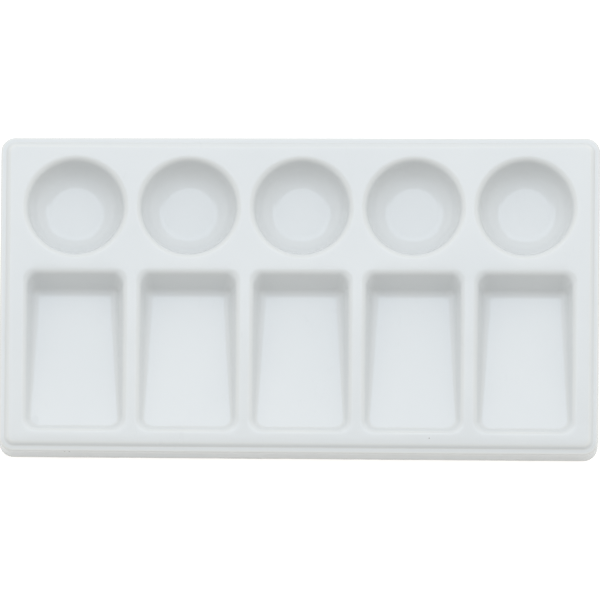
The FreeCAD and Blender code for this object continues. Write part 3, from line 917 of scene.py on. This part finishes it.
# ------------------------------------------------------------------ finishes

def start_finish(name):
    """A new material with its wiring, its Principled shader and the mm place."""
    material = bpy.data.materials.new(name)
    material.use_nodes = True
    wiring = Wiring(material.node_tree)
    shader = material.node_tree.nodes["Principled BSDF"]
    return material, wiring, shader, wiring.place()


def bump(wiring, height, relief):
    """The normal that a height from 0 to 1 gives, with the relief in mm."""
    made = wiring.node("ShaderNodeBump")
    made.inputs["Strength"].default_value = 1.0
    made.inputs["Distance"].default_value = relief * MM
    wiring.feed(made.inputs["Height"], height)
    return made.outputs["Normal"]


GLAZE_WHITE = (0.716, 0.732, 0.737, 1.0)
# Greyer glaze for hollows: partly glaze lying thick, partly painted shade in the hollows.
GLAZE_THICK_AND_SHADE = (0.688, 0.694, 0.684, 1.0)
GLAZE_THIN = (0.768, 0.770, 0.752, 1.0)
GLAZE_CLOUDED = (0.698, 0.716, 0.724, 1.0)
# Painted shade: the grey that darkens the glaze toward the foot, where shade falls.
GLAZE_FOOT_SHADE = (0.585, 0.588, 0.580, 1.0)
IRON_SPECK = (0.110, 0.085, 0.065, 1.0)
GREY_FILM = (0.400, 0.420, 0.430, 1.0)
PINK_STAIN = (0.640, 0.480, 0.470, 1.0)
GLAZE_IOR = 1.52
# From and to on the hollowness mark, then the least and the most of the other glaze.
POOLED_AND_SHADE = (0.52, 0.95, 0.0, 0.8)
THINNED = (0.48, 0.10, 0.0, 0.9)
FOOT_SHADE_SHARE = 0.7
IRON_SHARE = 0.75
SCRATCH_TINT = 0.05
SCRATCH_DULLS = 0.12
FILM_DULLS = 0.05
# Relief in mm; the heights are shares of it.
GLAZE_RELIEF = 0.03
PEEL_HEIGHT = 0.5
SCRATCH_DEPTH = 0.06


def glaze_finish(name, marks, roughest, iron):
    """White glaze: greyer in hollows, partly where it lies thick and partly as painted
    shade, whiter where it thins on edges, darkened toward the foot as painted
    shade, with pinholes, iron specks, fine scratches and the given single marks."""
    material, wiring, shader, place = start_finish(name)
    hollowness = wiring.node("ShaderNodeAttribute", {"attribute_name": "hollowness"}).outputs["Fac"]
    # Partly painted shade: hollows are greyed both as thick pooled glaze and as the shade that falls in
    # them.
    thick_and_shade = wiring.spread(hollowness, *POOLED_AND_SHADE)
    thin = wiring.spread(hollowness, *THINNED)
    cloud = wiring.effect(MOTTLE, "Value", Place=place, Size=38.0, Detail=3.0)
    colour = wiring.blend(cloud, GLAZE_WHITE, GLAZE_CLOUDED)
    colour = wiring.blend(thick_and_shade, colour, GLAZE_THICK_AND_SHADE)
    colour = wiring.blend(thin, colour, GLAZE_THIN)
    # Painted shade: the glaze is darkened from 1.1 to 4.2 mm up, where shade falls beside the table.
    foot_shade = wiring.effect(HEIGHT_BAND, "Mask", Place=place, Low=1.1, High=4.2, Uneven=0.8)
    colour = wiring.blend(wiring.math("MULTIPLY", foot_shade, FOOT_SHADE_SHARE), colour, GLAZE_FOOT_SHADE)
    iron_mask = wiring.effect(SPECKS, "Mask", Place=place, Spacing=9.0, Size=0.16, Share=iron)
    colour = wiring.blend(wiring.math("MULTIPLY", iron_mask, IRON_SHARE), colour, IRON_SPECK)
    for centre, radius, ragged, strength, tint in marks:
        mark = wiring.effect(SPOT, "Mask", Place=place, Centre=centre, Radius=radius, Ragged=ragged)
        colour = wiring.blend(wiring.math("MULTIPLY", mark, strength), colour, tint)
    scratches = wiring.effect(SCUFFS, "Mask", Place=place, Stretch=(1.0, 0.16, 1.0),
                              Spacing=3.0, Width=0.010)
    colour = wiring.blend(wiring.math("MULTIPLY", scratches, SCRATCH_TINT), colour, GREY_FILM)
    wiring.feed(shader.inputs["Base Color"], colour)

    film = wiring.effect(MOTTLE, "Value", Place=place, Size=16.0, Detail=5.0)
    rough = wiring.spread(film, 0.0, 1.0, roughest - FILM_DULLS, roughest)
    rough = wiring.math("ADD", rough, wiring.math("MULTIPLY", scratches, SCRATCH_DULLS))
    wiring.feed(shader.inputs["Roughness"], rough)

    peel = wiring.node("ShaderNodeTexNoise", Vector=place, Scale=0.42, Detail=1.5)
    pinholes = wiring.effect(SPECKS, "Mask", Place=place, Spacing=6.0, Size=0.20, Share=0.10)
    height = wiring.math("SUBTRACT", wiring.math("MULTIPLY", peel.outputs["Fac"], PEEL_HEIGHT), pinholes)
    height = wiring.math("SUBTRACT", height, wiring.math("MULTIPLY", scratches, SCRATCH_DEPTH))
    wiring.feed(shader.inputs["Normal"], bump(wiring, height, GLAZE_RELIEF))
    shader.inputs["IOR"].default_value = GLAZE_IOR
    return material


CLAY_BUFF = (0.780, 0.745, 0.680, 1.0)
CLAY_WARM = (0.720, 0.660, 0.570, 1.0)
CLAY_TOASTED = (0.640, 0.520, 0.390, 1.0)
SHELF_GREY = (0.420, 0.405, 0.385, 1.0)
TOASTED_SHARE = 0.7
WORN_SHARE = 0.5
GROG_SHARE = 0.5
SCUFFED_SHARE = 0.6
CLAY_DRY = 0.86
CLAY_RUBBED = 0.62
CLAY_RELIEF = 0.05
GROG_DEPTH = 0.5
SCUFF_DEPTH = 0.4


def clay_finish(name):
    """Bare fired clay: dry and grainy, toasted beside the glaze, greyed and
    scuffed on the foot ring where it has stood on tables."""
    material, wiring, shader, place = start_finish(name)
    cloud = wiring.effect(MOTTLE, "Value", Place=place, Size=14.0, Detail=5.0)
    colour = wiring.blend(cloud, CLAY_BUFF, CLAY_WARM)
    toasted = wiring.effect(HEIGHT_BAND, "Mask", Place=place, Low=0.45, High=1.05, Uneven=0.5)
    toasted = wiring.math("SUBTRACT", 1.0, toasted)
    colour = wiring.blend(wiring.math("MULTIPLY", toasted, TOASTED_SHARE), colour, CLAY_TOASTED)
    foot = wiring.effect(HEIGHT_BAND, "Mask", Place=place, Low=0.02, High=0.16, Uneven=0.12)
    patches = wiring.effect(MOTTLE, "Value", Place=place, Size=5.0, Detail=6.0)
    worn = wiring.math("MULTIPLY", foot, patches)
    colour = wiring.blend(wiring.math("MULTIPLY", worn, WORN_SHARE), colour, SHELF_GREY)
    grog = wiring.effect(SPECKS, "Mask", Place=place, Spacing=1.6, Size=0.22, Share=0.25)
    colour = wiring.blend(wiring.math("MULTIPLY", grog, GROG_SHARE), colour, CLAY_TOASTED)
    scuffs = wiring.effect(SCUFFS, "Mask", Place=place, Stretch=(0.2, 1.0, 1.0),
                           Spacing=2.0, Width=0.03)
    scuffs = wiring.math("MULTIPLY", scuffs, foot)
    colour = wiring.blend(wiring.math("MULTIPLY", scuffs, SCUFFED_SHARE), colour, SHELF_GREY)
    wiring.feed(shader.inputs["Base Color"], colour)

    wiring.feed(shader.inputs["Roughness"], wiring.spread(worn, 0.0, 1.0, CLAY_DRY, CLAY_RUBBED))

    grain = wiring.node("ShaderNodeTexNoise", Vector=place, Scale=6.0, Detail=4.0)
    height = wiring.math("SUBTRACT", grain.outputs["Fac"], wiring.math("MULTIPLY", grog, GROG_DEPTH))
    height = wiring.math("SUBTRACT", height, wiring.math("MULTIPLY", scuffs, SCUFF_DEPTH))
    wiring.feed(shader.inputs["Normal"], bump(wiring, height, CLAY_RELIEF))
    return material


# Single marks: where, radius, raggedness, how strong and what colour.
TOP_MARKS = [
    ((-84.4, -57.8, SHOULDER - 0.5), 0.38, 0.5, 0.55, IRON_SPECK),
    ((-82.7, -57.8, SHOULDER - 0.5), 0.50, 0.5, 0.45, IRON_SPECK),
    ((46.1, -52.5, PLATEAU), 0.28, 0.5, 0.70, IRON_SPECK),
    ((-95.0, -46.0, PLATEAU - 1.8), 2.2, 1.2, 0.10, GREY_FILM),
    ((-72.6, 18.0, PLATEAU - 1.0), 0.55, 0.8, 0.45, PINK_STAIN),
]
glaze_top.data.materials.append(glaze_finish("white_glaze", TOP_MARKS, 0.16, 0.05))
glaze_underside.data.materials.append(glaze_finish("white_glaze_underside", [], 0.24, 0.10))
clay.data.materials.append(clay_finish("fired_clay"))


# ------------------------------------------------------------------ table and light

# Sizes in m.  Glow and radiance are brightness, where 1 shows as white.
TABLE_SIZE = 12.0
TABLE_GAP = 0.00005
TABLE_WHITE = (0.90, 0.90, 0.90, 1.0)
TABLE_ROUGHNESS = 0.9
TABLE_GLOW = 0.13
TABLE_GLOW_SEEN = 0.40
ROOM_OVERHEAD = 0.605
ROOM_TOWARD_BACK = 0.235
ROOM_TOWARD_SIDES = 0.475
ROOM_COLOUR = (1.0, 1.0, 0.975, 1.0)
KEY_RADIANCE = 1.58
KEY_COLOUR = (0.89, 1.0, 1.14)
KEY_HEIGHT = 1.2
KEY_FROM = 0.20
KEY_TO = 1.10
KEY_WIDTH = 1.16


def table_top():
    """A plain white table, lit through just enough to keep shadows on it faint.  It
    looks brighter than the light that it gives to the palette."""
    bpy.ops.mesh.primitive_plane_add(size=TABLE_SIZE, location=(0, 0, -TABLE_GAP))
    table = bpy.context.object
    table.name = "table"
    material = bpy.data.materials.new("white_table")
    material.use_nodes = True
    shader = material.node_tree.nodes["Principled BSDF"]
    shader.inputs["Base Color"].default_value = TABLE_WHITE
    shader.inputs["Roughness"].default_value = TABLE_ROUGHNESS
    shader.inputs["Specular IOR Level"].default_value = 0.0
    shader.inputs["Emission Color"].default_value = (1.0, 1.0, 1.0, 1.0)
    wiring = Wiring(material.node_tree)
    seen = wiring.node("ShaderNodeLightPath").outputs["Is Camera Ray"]
    glow = wiring.math("MULTIPLY_ADD", seen, TABLE_GLOW_SEEN, TABLE_GLOW)
    wiring.feed(shader.inputs["Emission Strength"], glow)
    table.data.materials.append(material)
    return table


def overhead_softbox():
    """A level softbox of even brightness, above and toward the back."""
    lamp = bpy.data.lights.new("overhead_softbox", "AREA")
    lamp.shape = "RECTANGLE"
    lamp.size = KEY_WIDTH
    lamp.size_y = KEY_TO - KEY_FROM
    lamp.energy = KEY_RADIANCE * math.pi * lamp.size * lamp.size_y
    lamp.color = KEY_COLOUR
    box = bpy.data.objects.new("overhead_softbox", lamp)
    box.location = (0.0, (KEY_FROM + KEY_TO) / 2, KEY_HEIGHT)
    box.visible_camera = False
    bpy.context.scene.collection.objects.link(box)


def studio_walls():
    """Soft light from all round, stronger from both sides and from behind."""
    world = bpy.data.worlds.new("studio")
    bpy.context.scene.world = world
    world.use_nodes = True
    wiring = Wiring(world.node_tree)
    direction = wiring.node("ShaderNodeTexCoord").outputs["Generated"]
    axes = wiring.node("ShaderNodeSeparateXYZ", Vector=direction).outputs
    strength = wiring.math("MULTIPLY_ADD", axes["Y"], ROOM_TOWARD_BACK, ROOM_OVERHEAD)
    sideways = wiring.math("ABSOLUTE", axes["X"])
    strength = wiring.math("MULTIPLY_ADD", sideways, ROOM_TOWARD_SIDES, strength)
    sky = world.node_tree.nodes["Background"]
    sky.inputs["Color"].default_value = ROOM_COLOUR
    wiring.feed(sky.inputs["Strength"], strength)


table_top()
studio_walls()
overhead_softbox()


# ------------------------------------------------------------------ camera

ELEVATION = math.radians(77.5)
ROLL = math.radians(0.25)
LENS = 1000.0
SENSOR = 36.0
FRAME_WIDTH = 215.2 * MM
AIM = Vector((-0.36 * MM, -2.02 * MM, PLATEAU * MM))

camera = bpy.data.cameras.new("camera")
camera.lens = LENS
camera.sensor_width = SENSOR
camera.clip_start = 0.1
camera.clip_end = 50.0
viewer = bpy.data.objects.new("camera", camera)
bpy.context.scene.collection.objects.link(viewer)
toward_viewer = Vector((0.0, -math.cos(ELEVATION), math.sin(ELEVATION)))
viewer.location = AIM + toward_viewer * (FRAME_WIDTH * LENS / SENSOR)
tilt = Matrix.Rotation(math.pi / 2 - ELEVATION, 3, "X")
viewer.rotation_euler = (tilt @ Matrix.Rotation(ROLL, 3, "Z")).to_euler()
bpy.context.scene.camera = viewer
bpy.context.scene.view_settings.view_transform = "Standard"
